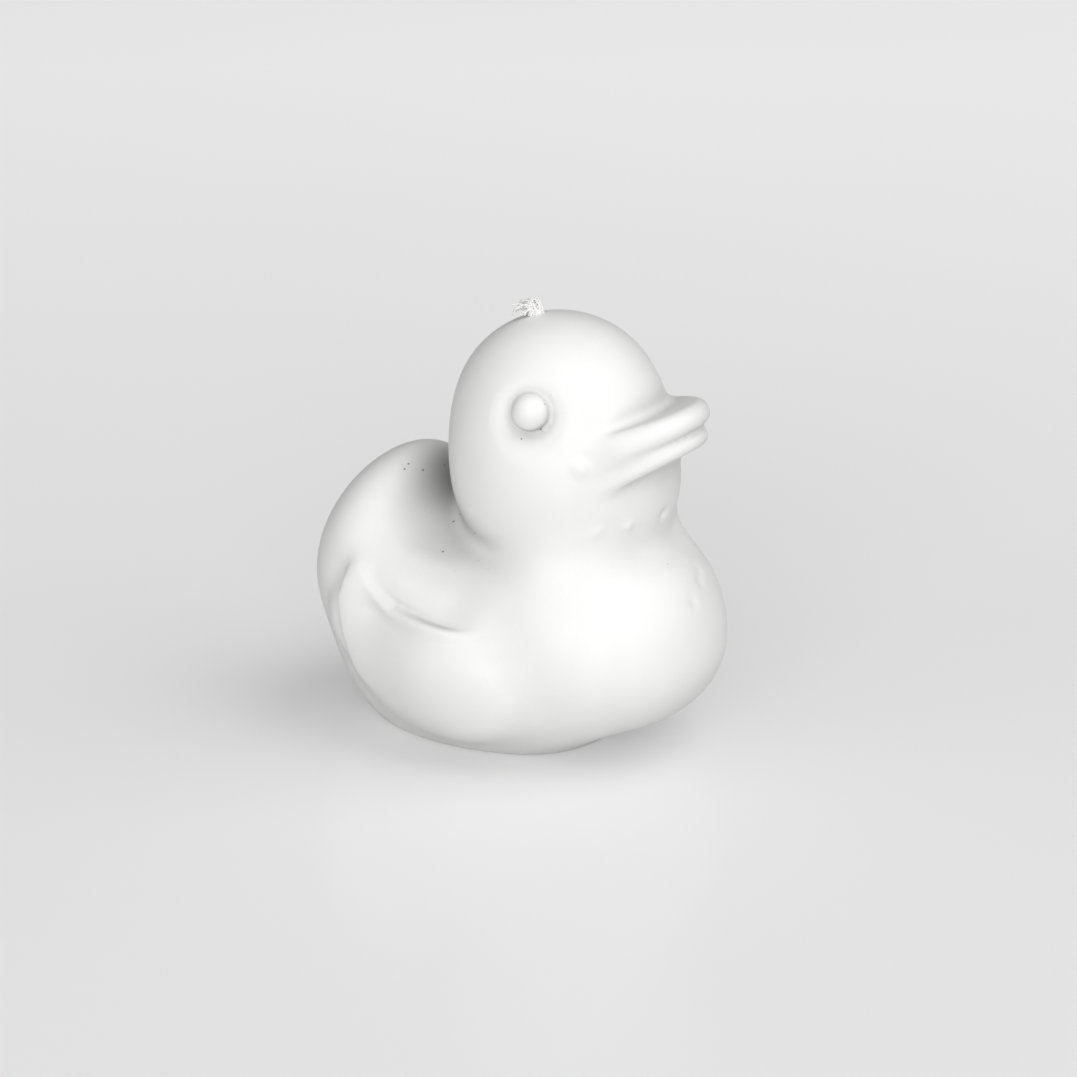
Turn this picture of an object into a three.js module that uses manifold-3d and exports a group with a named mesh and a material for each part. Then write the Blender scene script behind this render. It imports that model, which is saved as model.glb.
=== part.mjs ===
// A small candle cast in the shape of a bath duck, with its cotton wick.
// Millimetres. The bill points along +X, +Z is up, and the flat base rests on Z = 0.
// The casting is sculpted from rounded masses that melt into each other, then cut and bored.

import * as THREE from "three";
import { mergeVertices } from "three/addons/utils/BufferGeometryUtils.js";
import Module from "manifold-3d";

// Breast: the rounded mass over the front of the body.
const BREAST_X = 7.9;
const BREAST_Z = 15.5;
const BREAST_HALF_LENGTH = 13.4;
const BREAST_HALF_WIDTH = 15.6;
const BREAST_HALF_HEIGHT = 10.9;

// Chest: fills the breast low down, where it overhangs the base.
const CHEST_X = 9.1;
const CHEST_Z = 10.9;
const CHEST_HALF_LENGTH = 12.9;
const CHEST_HALF_WIDTH = 13.4;
const CHEST_HALF_HEIGHT = 7.9;

// Belly: comes down to the flat base.
const BELLY_X = -0.9;
const BELLY_Z = 9.3;
const BELLY_HALF_LENGTH = 14.6;
const BELLY_HALF_WIDTH = 11.8;
const BELLY_HALF_HEIGHT = 13.2;

// Rump: the back half of the body.
const RUMP_X = -5.8;
const RUMP_Z = 10.1;
const RUMP_HALF_LENGTH = 17.5;
const RUMP_HALF_WIDTH = 14.0;
const RUMP_HALF_HEIGHT = 14.7;

// Tail: a broad blunt hump that leans back.
const TAIL_X = -17.0;
const TAIL_Z = 21.1;
const TAIL_HALF_LENGTH = 6.0;
const TAIL_HALF_WIDTH = 11.4;
const TAIL_HALF_HEIGHT = 9.9;
const TAIL_LEAN = 24.5;

// Wings: a long pad on each flank, with a shoulder at the front and a tip that stands up at the back.
const WING_X = -6.6;
const WING_Y = 12.5;
const WING_Z = 10.6;
const WING_HALF_LENGTH = 13.0;
const WING_HALF_THICKNESS = 4.2;
const WING_HALF_HEIGHT = 6.4;
const WING_TOE_IN = 11;
const WING_LIFT = 14;
const WING_TIP_X = -14.6;
const WING_TIP_Y = 11.2;
const WING_TIP_Z = 16.7;
const WING_TIP_HALF_LENGTH = 3.2;
const WING_TIP_HALF_THICKNESS = 3.1;
const WING_TIP_HALF_HEIGHT = 4.7;
const WING_TIP_TOE_IN = 35;
const WING_TIP_LIFT = 25;
const WING_TIP_BLEND = 3.0;
const SHOULDER_X = -1.2;
const SHOULDER_Y = 13.0;
const SHOULDER_Z = 12.0;
const SHOULDER_HALF_LENGTH = 5.2;
const SHOULDER_HALF_THICKNESS = 4.2;
const SHOULDER_HALF_HEIGHT = 3.8;
const SHOULDER_BLEND = 6.0;

// Lobe: the swelling of the back that overhangs each wing and leaves a crease along its upper edge.
const LOBE_X = -6.4;
const LOBE_Y = 11.7;
const LOBE_Z = 18.4;
const LOBE_HALF_LENGTH = 8.2;
const LOBE_HALF_THICKNESS = 3.7;
const LOBE_HALF_HEIGHT = 2.6;
const LOBE_TOE_IN = 18;
const LOBE_LIFT = 15;

// Head: a round crown on fuller cheeks.
const CROWN_X = 4.1;
const CROWN_Z = 37.3;
const CROWN_HALF_LENGTH = 11.8;
const CROWN_HALF_WIDTH = 11.5;
const CROWN_HALF_HEIGHT = 11.5;
const CHEEKS_X = 5.2;
const CHEEKS_Z = 29.3;
const CHEEKS_HALF_LENGTH = 12.1;
const CHEEKS_HALF_WIDTH = 12.2;
const CHEEKS_HALF_HEIGHT = 10.0;

// Bill: two oval lips with blunt rims over a core that leaves the mouth as a groove between them.
const UPPER_LIP_X = 12.3;
const UPPER_LIP_Z = 36.0;
const UPPER_LIP_HALF_LENGTH = 10.1;
const UPPER_LIP_HALF_WIDTH = 8.8;
const UPPER_LIP_HALF_THICKNESS = 1.9;
const UPPER_LIP_TIP_HALF_THICKNESS = 1.4;
const UPPER_LIP_RIM = 1.3;
const LOWER_LIP_X = 12.1;
const LOWER_LIP_Z = 33.4;
const LOWER_LIP_HALF_LENGTH = 10.2;
const LOWER_LIP_HALF_WIDTH = 8.5;
const LOWER_LIP_HALF_THICKNESS = 1.9;
const LOWER_LIP_TIP_HALF_THICKNESS = 1.0;
const LOWER_LIP_RIM = 0.95;
const MOUTH_DEPTH = 1.2;
const BILL_LIFT = 24;
const MOUTH_CORNER_TURN = 50;
const MOUTH_CORNER_LIFT = -9;
const MOUTH_CORNER_RADIUS = 0.9;
const MOUTH_CORNER_SUNK = 0.65;

// Eyes: balls set in shallow sockets, placed by their bearing from the middle of the crown.
const EYE_RADIUS = 2.05;
const EYE_SUNK = 0.55;
const EYE_TURN = 78;
const EYE_LIFT = 19.5;
const SOCKET_RADIUS = 5.4;
const SOCKET_DEPTH = 1.5;
const SOCKET_DROP = 0.6;

// How softly neighbouring masses melt into each other.
const BODY_BLEND = 7.0;
const BELLY_BLEND = 4.0;
const TAIL_BLEND = 8.0;
const UNDERCUT_BLEND = 1.5;
const UNDERCUT_HEIGHT = 9.0;
const UNDERCUT_HALF_WIDTH = 11.0;
const WING_EDGE_BLEND = 1.0;
const LOBE_BLEND = 5.5;
const WING_FRONT_BLEND = 5.0;
const WING_FADE_BACK = -12.0;
const WING_FADE_FRONT = 10.0;
const HEAD_BLEND = 6.0;
const NAPE_BLEND = 2.0;
const THROAT_BLEND = 3.2;
const BILL_BLEND = 1.4;
const LIP_BLEND = 1.5;
const SOCKET_BLEND = 1.6;
const CORNER_BLEND = 0.8;

// Wick: a cotton cord in a bore down the whole casting, with a stub that curls over on the crown.
const WICK_X = 1.2;
const WICK_DIAMETER = 1.5;
const WICK_CLEARANCE = 0.3;
const WICK_RECESS = 0.5;
const WICK_STUB = 1.3;
const WICK_CURL = 0.9;
const WICK_SIDES = 12;

// Fineness of the sculpted skin, and of the searches that lay it on the surface.
const BODY_STEP = 1.9;
const BILL_STEP = 0.9;
const SKIN_MARGIN = 2.0;
const SKIN_TOLERANCE = 0.05;
const REFINE_ROUNDS = 2;
const SETTLE_SHARE = 0.5;
const ROUND_SIDES = 28;
const MARCH_STEPS = 60;
const DROP_STEPS = 4;
const LEAST_SLOPE = 0.05;
const WELD_DISTANCE = 1e-4;
const TINY = 1e-9;

const WAX_COLOUR = 0xf4f3f0;
const WAX_ROUGHNESS = 0.45;
const COTTON_COLOUR = 0xe6e3dc;
const COTTON_ROUGHNESS = 0.95;

const wasm = await Module();
wasm.setup();

const radians = THREE.MathUtils.degToRad;
const ease = THREE.MathUtils.smoothstep;

// Least of two distances, with the valley between them filled over a width.
function melt(a, b, width) {
  const h = Math.max(width - Math.abs(a - b), 0) / width;
  return Math.min(a, b) - (h * h * width) / 4;
}

// What is left of one distance when another is taken out of it, with a softened edge.
function carve(a, b, width) {
  return -melt(-a, b, width);
}

// Distance from an ellipsoid that is toed in by a turn about Z and lifted at its front.
function ellipsoid(at, half, lift = 0, toeIn = 0) {
  const turned = new THREE.Euler(0, -radians(lift), radians(toeIn), "ZYX");
  const e = new THREE.Matrix4().makeRotationFromEuler(turned).elements;
  return (x, y, z) => {
    const dx = x - at[0];
    const dy = y - at[1];
    const dz = z - at[2];
    const u = (e[0] * dx + e[1] * dy + e[2] * dz) / half[0];
    const v = (e[4] * dx + e[5] * dy + e[6] * dz) / half[1];
    const w = (e[8] * dx + e[9] * dy + e[10] * dz) / half[2];
    const reach = Math.hypot(u, v, w);
    const slope = Math.hypot(u / half[0], v / half[1], w / half[2]);
    return (reach * (reach - 1)) / Math.max(slope, TINY);
  };
}

// Distance from a lip of the bill: an oval plate with a rounded rim, lifted and thinned towards its tip.
function lip(at, halfLength, halfWidth, rootHalf, tipHalf, rim) {
  const rise = Math.sin(radians(BILL_LIFT));
  const run = Math.cos(radians(BILL_LIFT));
  const long = halfLength - rim;
  const wide = halfWidth - rim;
  return (x, y, z) => {
    const along = run * (x - at[0]) + rise * (z - at[1]);
    const up = run * (z - at[1]) - rise * (x - at[0]);
    const reach = Math.hypot(along / long, y / wide);
    const slope = Math.hypot(along / long ** 2, y / wide ** 2);
    const beyond = (reach * (reach - 1)) / Math.max(slope, TINY);
    const half = THREE.MathUtils.lerp(rootHalf, tipHalf, ease(along, 0, halfLength));
    const over = Math.abs(up) - half + rim;
    const inside = Math.min(Math.max(beyond, over), 0);
    return inside + Math.hypot(Math.max(beyond, 0), Math.max(over, 0)) - rim;
  };
}

function ball(at, radius) {
  return (x, y, z) => Math.hypot(x - at[0], y - at[1], z - at[2]) - radius;
}

const breast = ellipsoid(
  [BREAST_X, 0, BREAST_Z],
  [BREAST_HALF_LENGTH, BREAST_HALF_WIDTH, BREAST_HALF_HEIGHT],
);
const chest = ellipsoid(
  [CHEST_X, 0, CHEST_Z],
  [CHEST_HALF_LENGTH, CHEST_HALF_WIDTH, CHEST_HALF_HEIGHT],
);
const belly = ellipsoid(
  [BELLY_X, 0, BELLY_Z],
  [BELLY_HALF_LENGTH, BELLY_HALF_WIDTH, BELLY_HALF_HEIGHT],
);
const rump = ellipsoid(
  [RUMP_X, 0, RUMP_Z],
  [RUMP_HALF_LENGTH, RUMP_HALF_WIDTH, RUMP_HALF_HEIGHT],
);
const tail = ellipsoid(
  [TAIL_X, 0, TAIL_Z],
  [TAIL_HALF_LENGTH, TAIL_HALF_WIDTH, TAIL_HALF_HEIGHT],
  -TAIL_LEAN,
);
const wingPad = ellipsoid(
  [WING_X, WING_Y, WING_Z],
  [WING_HALF_LENGTH, WING_HALF_THICKNESS, WING_HALF_HEIGHT],
  -WING_LIFT,
  WING_TOE_IN,
);
const wingTip = ellipsoid(
  [WING_TIP_X, WING_TIP_Y, WING_TIP_Z],
  [WING_TIP_HALF_LENGTH, WING_TIP_HALF_THICKNESS, WING_TIP_HALF_HEIGHT],
  -WING_TIP_LIFT,
  WING_TIP_TOE_IN,
);
const shoulder = ellipsoid(
  [SHOULDER_X, SHOULDER_Y, SHOULDER_Z],
  [SHOULDER_HALF_LENGTH, SHOULDER_HALF_THICKNESS, SHOULDER_HALF_HEIGHT],
);
const lobe = ellipsoid(
  [LOBE_X, LOBE_Y, LOBE_Z],
  [LOBE_HALF_LENGTH, LOBE_HALF_THICKNESS, LOBE_HALF_HEIGHT],
  -LOBE_LIFT,
  LOBE_TOE_IN,
);
const crown = ellipsoid(
  [CROWN_X, 0, CROWN_Z],
  [CROWN_HALF_LENGTH, CROWN_HALF_WIDTH, CROWN_HALF_HEIGHT],
);
const cheeks = ellipsoid(
  [CHEEKS_X, 0, CHEEKS_Z],
  [CHEEKS_HALF_LENGTH, CHEEKS_HALF_WIDTH, CHEEKS_HALF_HEIGHT],
);
const upperLip = lip(
  [UPPER_LIP_X, UPPER_LIP_Z],
  UPPER_LIP_HALF_LENGTH,
  UPPER_LIP_HALF_WIDTH,
  UPPER_LIP_HALF_THICKNESS,
  UPPER_LIP_TIP_HALF_THICKNESS,
  UPPER_LIP_RIM,
);
const lowerLip = lip(
  [LOWER_LIP_X, LOWER_LIP_Z],
  LOWER_LIP_HALF_LENGTH,
  LOWER_LIP_HALF_WIDTH,
  LOWER_LIP_HALF_THICKNESS,
  LOWER_LIP_TIP_HALF_THICKNESS,
  LOWER_LIP_RIM,
);
const mouthCore = ellipsoid(
  [(UPPER_LIP_X + LOWER_LIP_X) / 2, 0, (UPPER_LIP_Z + LOWER_LIP_Z) / 2],
  [
    Math.min(UPPER_LIP_HALF_LENGTH, LOWER_LIP_HALF_LENGTH) - MOUTH_DEPTH,
    Math.min(UPPER_LIP_HALF_WIDTH, LOWER_LIP_HALF_WIDTH) - MOUTH_DEPTH,
    (UPPER_LIP_Z - LOWER_LIP_Z) / 2,
  ],
  BILL_LIFT,
);

// The trunk without its wings. The blend is tight under the breast, so that it overhangs the base.
function trunk(x, y, z) {
  const back = melt(rump(x, y, z), belly(x, y, z), BELLY_BLEND);
  const front = melt(breast(x, y, z), chest(x, y, z), BODY_BLEND);
  const open = Math.max(ease(z, 0, UNDERCUT_HEIGHT), ease(Math.abs(y), 0, UNDERCUT_HALF_WIDTH));
  const body = melt(back, front, UNDERCUT_BLEND + (BODY_BLEND - UNDERCUT_BLEND) * open);
  return melt(body, tail(x, y, z), TAIL_BLEND);
}

// The trunk with a lobe on each side: a tight crease under its middle, melting away above and at its ends.
function lobed(x, side, z) {
  const above = ease(z, LOBE_Z - LOBE_HALF_HEIGHT, LOBE_Z);
  const beyond = ease(Math.abs(x - LOBE_X), LOBE_HALF_LENGTH - LOBE_BLEND, LOBE_HALF_LENGTH + LOBE_BLEND);
  const soft = Math.max(above, beyond);
  return melt(trunk(x, side, z), lobe(x, side, z), WING_EDGE_BLEND + (LOBE_BLEND - WING_EDGE_BLEND) * soft);
}

// The body with its wings: crisp along the upper and rear edges, melting away forwards and downwards.
function body(x, y, z) {
  const side = Math.abs(y);
  const tipped = melt(wingPad(x, side, z), wingTip(x, side, z), WING_TIP_BLEND);
  const wing = melt(tipped, shoulder(x, side, z), SHOULDER_BLEND);
  const forward = ease(x - z + WING_TIP_Z, WING_FADE_BACK, WING_FADE_FRONT);
  return melt(lobed(x, side, z), wing, WING_EDGE_BLEND + (WING_FRONT_BLEND - WING_EDGE_BLEND) * forward);
}

function skull(x, y, z) {
  return melt(crown(x, y, z), cheeks(x, y, z), HEAD_BLEND);
}

// Point of the skull's surface on a bearing from the middle of the crown, with the way out there.
function onSkull(turn, lift) {
  const out = new THREE.Vector3(
    Math.cos(radians(lift)) * Math.cos(radians(turn)),
    Math.cos(radians(lift)) * Math.sin(radians(turn)),
    Math.sin(radians(lift)),
  );
  const at = new THREE.Vector3(CROWN_X, 0, CROWN_Z);
  for (let step = 0; step < MARCH_STEPS; step++) at.addScaledVector(out, -skull(at.x, at.y, at.z));
  return { at, out };
}

const eyePlace = onSkull(EYE_TURN, EYE_LIFT);
const eyeCentre = eyePlace.at.clone().addScaledVector(eyePlace.out, -EYE_SUNK);
const socketCentre = eyePlace.at.clone();
socketCentre.addScaledVector(eyePlace.out, SOCKET_RADIUS - SOCKET_DEPTH);
socketCentre.z -= SOCKET_DROP;
const socket = ball(socketCentre.toArray(), SOCKET_RADIUS);
const cornerPlace = onSkull(MOUTH_CORNER_TURN, MOUTH_CORNER_LIFT);
const cornerCentre = cornerPlace.at.clone();
cornerCentre.addScaledVector(cornerPlace.out, -MOUTH_CORNER_SUNK);
const mouthCorner = ball(cornerCentre.toArray(), MOUTH_CORNER_RADIUS);

function bill(x, y, z) {
  const lips = melt(upperLip(x, y, z), lowerLip(x, y, z), LIP_BLEND);
  return melt(lips, mouthCore(x, y, z), LIP_BLEND);
}

function head(x, y, z) {
  const side = Math.abs(y);
  const socketed = carve(skull(x, side, z), socket(x, side, z), SOCKET_BLEND);
  const billed = melt(socketed, bill(x, side, z), BILL_BLEND);
  return melt(billed, mouthCorner(x, side, z), CORNER_BLEND);
}

// The whole casting: the neck is a sharp valley at the nape and a soft one at the throat.
function duck(x, y, z) {
  const neckBlend = NAPE_BLEND + (THROAT_BLEND - NAPE_BLEND) * ease(x, 0, CROWN_X + CHEEKS_X);
  return melt(body(x, y, z), head(x, y, z), neckBlend);
}

// Way of steepest climb of a field, from small differences.
function gradient(field, x, y, z) {
  const d = SKIN_TOLERANCE;
  return new THREE.Vector3(
    field(x + d, y, z) - field(x - d, y, z),
    field(x, y + d, z) - field(x, y - d, z),
    field(x, y, z + d) - field(x, y, z - d),
  ).divideScalar(2 * d);
}

// Moves a point onto the surface where the field is zero.
function drop(field, point) {
  for (let step = 0; step < DROP_STEPS; step++) {
    const way = gradient(field, point.x, point.y, point.z);
    const height = field(point.x, point.y, point.z);
    point.addScaledVector(way, -height / Math.max(way.lengthSq(), LEAST_SLOPE));
  }
  return point;
}

function halfway(a, b) {
  return a.clone().add(b).divideScalar(2);
}

// Grid lines from low to high, finer between the two ends of a fine stretch.
function gridLines(low, high, fineLow, fineHigh) {
  const lines = [low];
  while (lines.at(-1) < high) {
    const last = lines.at(-1);
    const fine = last > fineLow - BODY_STEP && last < fineHigh;
    lines.push(last + (fine ? BILL_STEP : BODY_STEP));
  }
  return lines;
}

// Wraps a closed skin round everything where the field is below zero.
// Each grid cell that the surface crosses holds one vertex, and each grid edge that it cuts holds one quad.
function wrap(field, xs, ys, zs) {
  const across = ys.length * zs.length;
  const value = new Float64Array(xs.length * across);
  const corner = (i, j, k) => i * across + j * zs.length + k;
  xs.forEach((x, i) => {
    ys.forEach((y, j) => {
      zs.forEach((z, k) => {
        value[corner(i, j, k)] = field(x, y, z);
      });
    });
  });

  const vertexOf = new Map();
  const points = [];
  function vertex(i, j, k) {
    const key = corner(i, j, k);
    if (!vertexOf.has(key)) {
      vertexOf.set(key, points.length);
      points.push(drop(field, cellMiddle(i, j, k)));
    }
    return vertexOf.get(key);
  }

  // Mean of the places where the surface cuts the cell's twelve edges.
  function cellMiddle(i, j, k) {
    const sum = new THREE.Vector3();
    let cuts = 0;
    for (let axis = 0; axis < 3; axis++) {
      for (let side = 0; side < 4; side++) {
        const from = [i, j, k];
        from[(axis + 1) % 3] += side & 1;
        from[(axis + 2) % 3] += side >> 1;
        const to = [...from];
        to[axis] += 1;
        const a = value[corner(...from)];
        const b = value[corner(...to)];
        if (a < 0 === b < 0) continue;
        const start = new THREE.Vector3(xs[from[0]], ys[from[1]], zs[from[2]]);
        const end = new THREE.Vector3(xs[to[0]], ys[to[1]], zs[to[2]]);
        sum.add(start.lerp(end, a / (a - b)));
        cuts += 1;
      }
    }
    return sum.divideScalar(cuts);
  }

  // Two triangles, folded along the diagonal whose middle lies nearer to the surface.
  const faces = [];
  function off(a, b) {
    const middle = halfway(points[a], points[b]);
    return Math.abs(field(middle.x, middle.y, middle.z));
  }
  function quad(a, b, c, d) {
    if (off(a, c) < off(b, d)) faces.push([a, b, c], [a, c, d]);
    else faces.push([a, b, d], [b, c, d]);
  }

  for (let i = 1; i < xs.length - 1; i++) {
    for (let j = 1; j < ys.length - 1; j++) {
      for (let k = 1; k < zs.length - 1; k++) {
        const inside = value[corner(i, j, k)] < 0;
        const turn = (a, b, c, d) => (inside ? quad(a, b, c, d) : quad(d, c, b, a));
        if (inside !== value[corner(i + 1, j, k)] < 0) {
          turn(vertex(i, j - 1, k - 1), vertex(i, j, k - 1), vertex(i, j, k), vertex(i, j - 1, k));
        }
        if (inside !== value[corner(i, j + 1, k)] < 0) {
          turn(vertex(i - 1, j, k - 1), vertex(i - 1, j, k), vertex(i, j, k), vertex(i, j, k - 1));
        }
        if (inside !== value[corner(i, j, k + 1)] < 0) {
          turn(vertex(i - 1, j - 1, k), vertex(i, j - 1, k), vertex(i, j, k), vertex(i - 1, j, k));
        }
      }
    }
  }
  return { points, faces };
}

// Evens out the skin: each vertex goes part of the way to the middle of its neighbours, then back down.
function settle(field, { points, faces }) {
  const around = points.map(() => new Set());
  faces.forEach(([a, b, c]) => {
    around[a].add(b).add(c);
    around[b].add(a).add(c);
    around[c].add(a).add(b);
  });
  const moved = points.map((point, n) => {
    const middle = new THREE.Vector3();
    around[n].forEach((other) => middle.add(points[other]));
    return drop(field, point.clone().lerp(middle.divideScalar(around[n].size), SETTLE_SHARE));
  });
  return { points: moved, faces };
}

// Splits each edge whose middle lies off the surface by more than the tolerance.
function refine(field, { points, faces }) {
  const split = new Map();
  const finer = [...points];
  function middleOf(a, b) {
    const key = Math.min(a, b) * points.length + Math.max(a, b);
    if (!split.has(key)) {
      const middle = halfway(points[a], points[b]);
      const off = Math.abs(field(middle.x, middle.y, middle.z)) > SKIN_TOLERANCE;
      split.set(key, off ? finer.push(drop(field, middle)) - 1 : -1);
    }
    return split.get(key);
  }
  const made = [];
  for (const [a, b, c] of faces) {
    const corners = [a, b, c];
    const middles = [middleOf(a, b), middleOf(b, c), middleOf(c, a)];
    const count = middles.filter((m) => m >= 0).length;
    if (count === 0) made.push(corners);
    else if (count === 3) {
      const [ab, bc, ca] = middles;
      made.push([a, ab, ca], [ab, b, bc], [ca, bc, c], [ab, bc, ca]);
    } else {
      const single = middles.findIndex((m) => m >= 0);
      const whole = middles.findIndex((m) => m < 0);
      const first = count === 1 ? single : (whole + 1) % 3;
      const [p, q, r] = [0, 1, 2].map((n) => corners[(first + n) % 3]);
      const pq = middles[first];
      const qr = middles[(first + 1) % 3];
      if (count === 1) made.push([p, pq, r], [pq, q, r]);
      else made.push([pq, q, qr], [p, pq, qr], [p, qr, r]);
    }
  }
  return { points: finer, faces: made };
}

// The solid of a closed geometry, with the vertices that share a place made one.
function solidOf(geometry) {
  const bare = geometry.clone();
  bare.deleteAttribute("normal");
  bare.deleteAttribute("uv");
  const welded = mergeVertices(bare, WELD_DISTANCE);
  const corners = welded.index.array;
  const triangles = [];
  for (let n = 0; n < corners.length; n += 3) {
    const [a, b, c] = corners.slice(n, n + 3);
    if (a !== b && b !== c && c !== a) triangles.push(a, b, c);
  }
  return new wasm.Manifold(
    new wasm.Mesh({
      numProp: 3,
      vertProperties: welded.getAttribute("position").array,
      triVerts: new Uint32Array(triangles),
    }),
  );
}

// The geometry of a solid.
function geometryOf(solid) {
  const mesh = solid.getMesh();
  const geometry = new THREE.BufferGeometry();
  geometry.setAttribute("position", new THREE.BufferAttribute(mesh.vertProperties, 3));
  geometry.setIndex(new THREE.BufferAttribute(mesh.triVerts, 1));
  geometry.computeVertexNormals();
  return geometry;
}

function skinGeometry({ points, faces }) {
  const geometry = new THREE.BufferGeometry().setFromPoints(points);
  return geometry.setIndex(faces.flat());
}

// Height of the casting's top at the wick.
function crownHeight() {
  const top = new THREE.Vector3(WICK_X, 0, CROWN_Z + CROWN_HALF_HEIGHT + SKIN_MARGIN);
  for (let step = 0; step < MARCH_STEPS; step++) top.z -= duck(top.x, top.y, top.z);
  return top.z;
}

// Limits of the skin's grid, with a margin outside the casting.
const billSlope = Math.sin(radians(BILL_LIFT));
const billFoot = LOWER_LIP_Z - LOWER_LIP_HALF_LENGTH * billSlope;
const billTop = UPPER_LIP_Z + UPPER_LIP_HALF_LENGTH * billSlope + UPPER_LIP_HALF_THICKNESS;
const gridBack = Math.min(RUMP_X - RUMP_HALF_LENGTH, TAIL_X - TAIL_HALF_HEIGHT) - SKIN_MARGIN;
const billFront = UPPER_LIP_X + UPPER_LIP_HALF_LENGTH;
const gridFront = Math.max(billFront, BREAST_X + BREAST_HALF_LENGTH) + SKIN_MARGIN;
const wingSide = Math.max(WING_Y + WING_HALF_THICKNESS, SHOULDER_Y + SHOULDER_HALF_THICKNESS);
const gridSide = Math.max(BREAST_HALF_WIDTH, wingSide) + 2 * SKIN_MARGIN;
const gridTop = CROWN_Z + CROWN_HALF_HEIGHT + SKIN_MARGIN;
const gridBottom = Math.min(BELLY_Z - BELLY_HALF_HEIGHT, RUMP_Z - RUMP_HALF_HEIGHT) - 2 * SKIN_MARGIN;

function sculptedSkin() {
  const half = gridLines(0, gridSide, gridSide, gridSide);
  const mirrored = half.slice(1).reverse().map((y) => -y);
  const xs = gridLines(gridBack, gridFront, UPPER_LIP_X, gridFront);
  const ys = [...mirrored, ...half];
  const zs = gridLines(gridBottom, gridTop, billFoot, billTop);
  let skin = settle(duck, wrap(duck, xs, ys, zs));
  for (let round = 0; round < REFINE_ROUNDS; round++) skin = settle(duck, refine(duck, skin));
  return skin;
}

// The casting: eyes added, the base cut flat and the wick's bore taken out.
function waxDuck() {
  let wax = solidOf(skinGeometry(sculptedSkin()));
  for (const side of [-1, 1]) {
    const eye = new THREE.SphereGeometry(EYE_RADIUS, ROUND_SIDES, ROUND_SIDES / 2);
    wax = wax.add(solidOf(eye.translate(eyeCentre.x, side * eyeCentre.y, eyeCentre.z)));
  }
  const under = new THREE.BoxGeometry(2 * (gridFront - gridBack), 4 * gridSide, -gridBottom);
  wax = wax.subtract(solidOf(under.translate(0, 0, gridBottom / 2)));
  const boreRadius = WICK_DIAMETER / 2 + WICK_CLEARANCE;
  const bore = new THREE.CylinderGeometry(boreRadius, boreRadius, 2 * (gridTop - gridBottom), ROUND_SIDES);
  bore.rotateX(Math.PI / 2).translate(WICK_X, 0, 0);
  return geometryOf(wax.subtract(solidOf(bore)));
}

// Straight up the bore, then a short stub that leans and curls over.
function wick() {
  const top = crownHeight();
  const radius = WICK_DIAMETER / 2;
  const cord = new THREE.CylinderGeometry(radius, radius, top - WICK_RECESS, WICK_SIDES);
  cord.rotateX(Math.PI / 2).rotateZ(Math.PI / 2).translate(WICK_X, 0, (top + WICK_RECESS) / 2);
  const section = new THREE.Shape().absarc(0, 0, radius, 0, 2 * Math.PI);
  const curl = new THREE.QuadraticBezierCurve3(
    new THREE.Vector3(WICK_X, 0, top - WICK_DIAMETER),
    new THREE.Vector3(WICK_X, 0, top + WICK_STUB),
    new THREE.Vector3(WICK_X - WICK_CURL, 0, top + WICK_STUB),
  );
  const stub = new THREE.ExtrudeGeometry(section, {
    steps: WICK_SIDES,
    curveSegments: WICK_SIDES,
    bevelEnabled: false,
    extrudePath: curl,
  });
  return geometryOf(solidOf(cord).add(solidOf(stub)));
}

function piece(name, geometry, colour, roughness) {
  const material = new THREE.MeshStandardMaterial({ color: colour, roughness, metalness: 0 });
  const mesh = new THREE.Mesh(geometry, material);
  mesh.name = name;
  return mesh;
}

const candle = new THREE.Group();
candle.add(piece("wax_duck", waxDuck(), WAX_COLOUR, WAX_ROUGHNESS));
candle.add(piece("wick", wick(), COTTON_COLOUR, COTTON_ROUGHNESS));

// The origin is under the middle of the casting's box, on the base.
const box = new THREE.Box3().setFromObject(candle);
candle.children.forEach((mesh) => mesh.translateX(-(box.min.x + box.max.x) / 2));

export default candle;
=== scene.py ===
import math
import random

import bpy
import numpy as np
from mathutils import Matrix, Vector


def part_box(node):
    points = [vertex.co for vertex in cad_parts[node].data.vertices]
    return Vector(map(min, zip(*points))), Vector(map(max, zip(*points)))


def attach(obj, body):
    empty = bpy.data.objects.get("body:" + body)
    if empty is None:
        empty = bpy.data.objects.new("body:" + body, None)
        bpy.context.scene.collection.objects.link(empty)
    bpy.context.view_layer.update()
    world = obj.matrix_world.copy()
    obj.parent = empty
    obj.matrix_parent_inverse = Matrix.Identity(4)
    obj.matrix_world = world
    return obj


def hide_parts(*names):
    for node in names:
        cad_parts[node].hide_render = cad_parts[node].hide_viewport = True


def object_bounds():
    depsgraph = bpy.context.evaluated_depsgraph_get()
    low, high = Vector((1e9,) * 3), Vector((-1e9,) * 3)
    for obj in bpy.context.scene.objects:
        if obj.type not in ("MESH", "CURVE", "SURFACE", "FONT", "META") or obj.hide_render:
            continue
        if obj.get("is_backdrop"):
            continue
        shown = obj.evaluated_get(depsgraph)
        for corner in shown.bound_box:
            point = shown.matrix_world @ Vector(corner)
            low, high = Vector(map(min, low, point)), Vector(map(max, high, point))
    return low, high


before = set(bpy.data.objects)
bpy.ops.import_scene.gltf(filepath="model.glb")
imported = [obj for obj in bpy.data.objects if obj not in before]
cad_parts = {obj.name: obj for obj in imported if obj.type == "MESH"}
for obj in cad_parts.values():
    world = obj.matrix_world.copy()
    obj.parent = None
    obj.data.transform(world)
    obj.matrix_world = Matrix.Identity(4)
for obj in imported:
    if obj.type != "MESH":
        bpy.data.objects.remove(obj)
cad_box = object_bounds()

# Lengths are in millimetres until a mesh is made; Blender's own are in metres.
MM = 0.001

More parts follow.
